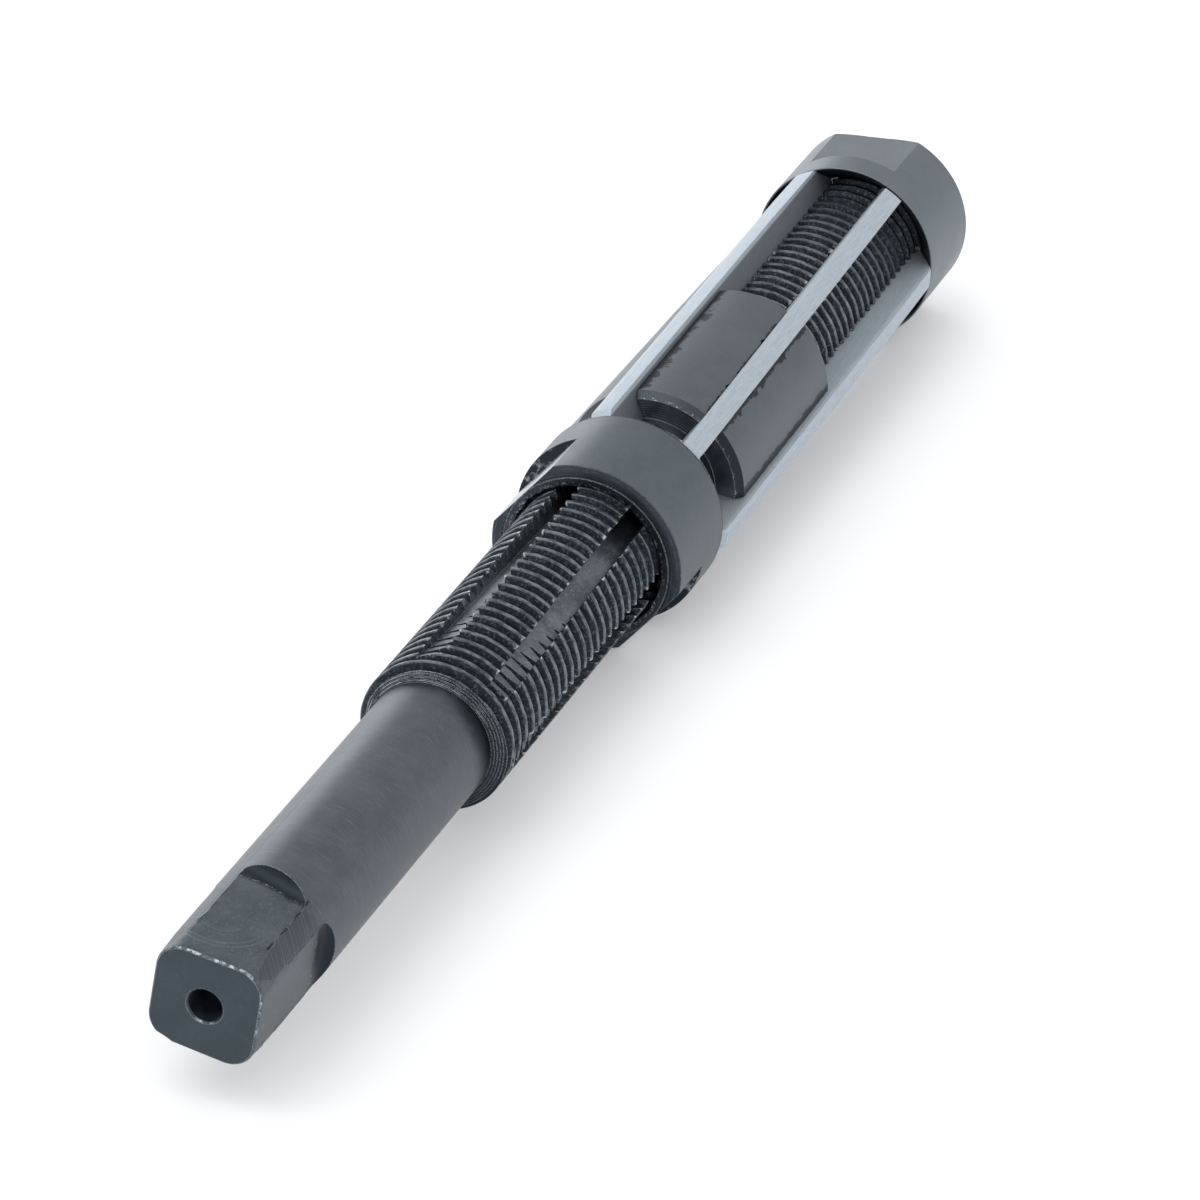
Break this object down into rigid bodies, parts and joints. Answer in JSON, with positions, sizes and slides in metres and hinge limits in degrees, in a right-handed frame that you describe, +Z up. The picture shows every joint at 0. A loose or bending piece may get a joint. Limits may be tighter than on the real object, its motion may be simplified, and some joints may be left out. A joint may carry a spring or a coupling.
{
  "type": "adjustable hand reamer",
  "caption": "Adjustable hand reamer with a square drive, threaded slotted body, sliding bevelled blades and two coned nuts that set the cutting diameter.",
  "frame": {"origin": "on the surface the tool lies on, under the middle of the body's length", "axes": "+X along the tool from the square drive end to the pilot end, +Z up; the axis of the body is parallel to X at the nuts' radius above the origin"},
  "size_m": [0.1616, 0.019, 0.0185],
  "materials": {
    "black_oxide_body": "steel with a dark blue-black oxide finish, fine turning and milling marks",
    "black_oxide_nut": "steel with a satin blue-grey oxide finish, edges worn bright",
    "ground_blade": "bright ground tool steel on the land, duller on the sides"
  },
  "bodies": {
    "body": {"body": "black_oxide_body"},
    "upper_nut": {"upper_nut": "black_oxide_nut"},
    "lower_nut": {"lower_nut": "black_oxide_nut"},
    "blade_1": {"blade_1": "ground_blade"},
    "blade_2": {"blade_2": "ground_blade"},
    "blade_3": {"blade_3": "ground_blade"},
    "blade_4": {"blade_4": "ground_blade"},
    "blade_5": {"blade_5": "ground_blade"},
    "blade_6": {"blade_6": "ground_blade"}
  },
  "joints": [
    {"name": "upper_nut_travel", "type": "slide", "parent": "body", "child": "upper_nut", "axis": [-1, 0, 0], "range_m": [0, 0.03134]},
    {"name": "lower_nut_travel", "type": "slide", "parent": "body", "child": "lower_nut", "axis": [-1, 0, 0], "range_m": [0, 0.02851]},
    {"name": "blade_1_slide", "type": "slide", "parent": "body", "child": "blade_1", "axis": [-0.9993, -0.0355, 0.0144], "range_m": [0, 0.02995]},
    {"name": "blade_2_slide", "type": "slide", "parent": "body", "child": "blade_2", "axis": [-0.9993, -0.0302, -0.0235], "range_m": [0, 0.02995]},
    {"name": "blade_3_slide", "type": "slide", "parent": "body", "child": "blade_3", "axis": [-0.9993, 0.0052, -0.0379], "range_m": [0, 0.02995]},
    {"name": "blade_4_slide", "type": "slide", "parent": "body", "child": "blade_4", "axis": [-0.9993, 0.0355, -0.0144], "range_m": [0, 0.02995]},
    {"name": "blade_5_slide", "type": "slide", "parent": "body", "child": "blade_5", "axis": [-0.9993, 0.0302, 0.0235], "range_m": [0, 0.02995]},
    {"name": "blade_6_slide", "type": "slide", "parent": "body", "child": "blade_6", "axis": [-0.9993, -0.0052, 0.0379], "range_m": [0, 0.02995]}
  ],
  "couplings": [
    {"joint": "lower_nut_travel", "follows": "upper_nut_travel", "ratio": 0.90952},
    {"joint": "blade_1_slide", "follows": "upper_nut_travel", "ratio": 0.95546},
    {"joint": "blade_2_slide", "follows": "upper_nut_travel", "ratio": 0.95546},
    {"joint": "blade_3_slide", "follows": "upper_nut_travel", "ratio": 0.95546},
    {"joint": "blade_4_slide", "follows": "upper_nut_travel", "ratio": 0.95546},
    {"joint": "blade_5_slide", "follows": "upper_nut_travel", "ratio": 0.95546},
    {"joint": "blade_6_slide", "follows": "upper_nut_travel", "ratio": 0.95546}
  ]
}
